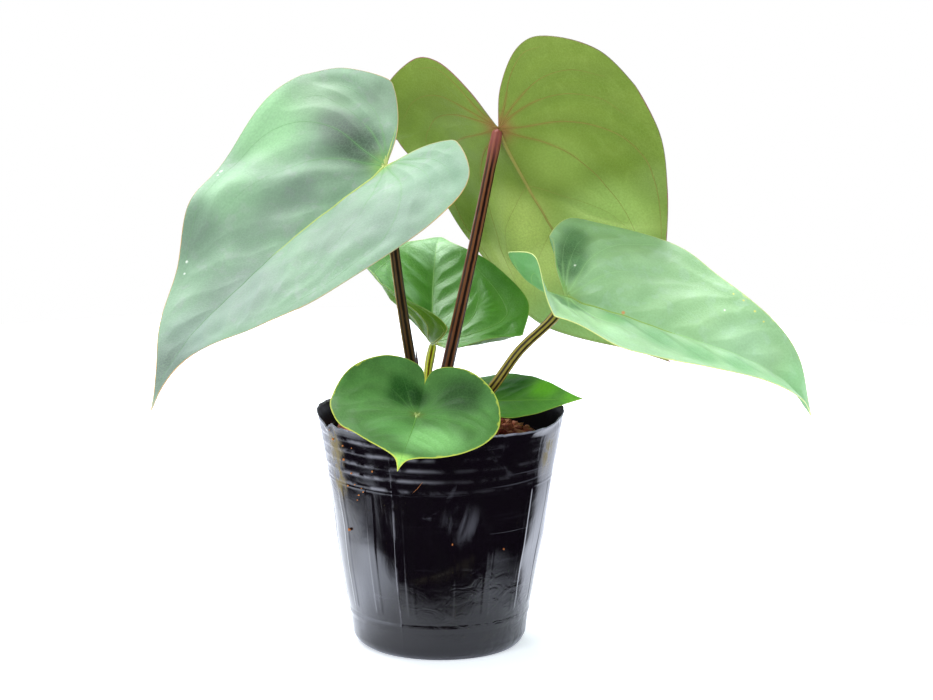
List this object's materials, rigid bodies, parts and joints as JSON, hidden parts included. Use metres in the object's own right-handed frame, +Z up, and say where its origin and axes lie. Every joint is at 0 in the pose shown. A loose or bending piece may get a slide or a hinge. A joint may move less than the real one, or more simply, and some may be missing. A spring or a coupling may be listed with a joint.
{
  "type": "potted anthurium hybrid",
  "caption": "Leafy anthurium house plant with broad heart-shaped leaves on slender stalks, rooted in bark mix in a thin ribbed round nursery pot with a flared rim.",
  "frame": {"origin": "centre of the pot's base, on the floor", "axes": "+Z up out of the pot, -Y towards the side that the plant is seen from, +X to that side's right, where the longest leaf spread lies"},
  "size_m": [0.2844, 0.1946, 0.2689],
  "materials": {
    "black_plastic": "satin",
    "bark_mix": "matte",
    "crown_green": "matte",
    "maroon_stalk": "satin",
    "olive_stalk": "satin",
    "yellow_stalk": "satin",
    "silver_leaf": "satin",
    "olive_leaf": "satin",
    "deep_leaf": "gloss",
    "mid_leaf": "satin"
  },
  "bodies": {
    "root": {"pot": "black_plastic", "potting_mix": "bark_mix", "crown": "crown_green", "sheath": "maroon_stalk", "blade_front_left": "silver_leaf", "blade_back_right": "olive_leaf", "blade_right": "silver_leaf", "blade_back": "deep_leaf", "blade_front_low": "mid_leaf", "blade_right_low": "mid_leaf", "stalk_front_left": "maroon_stalk", "stalk_back_right": "maroon_stalk", "stalk_right": "olive_stalk", "stalk_back": "yellow_stalk", "stalk_front_low": "olive_stalk", "stalk_right_low": "yellow_stalk"}
  },
  "joints": []
}
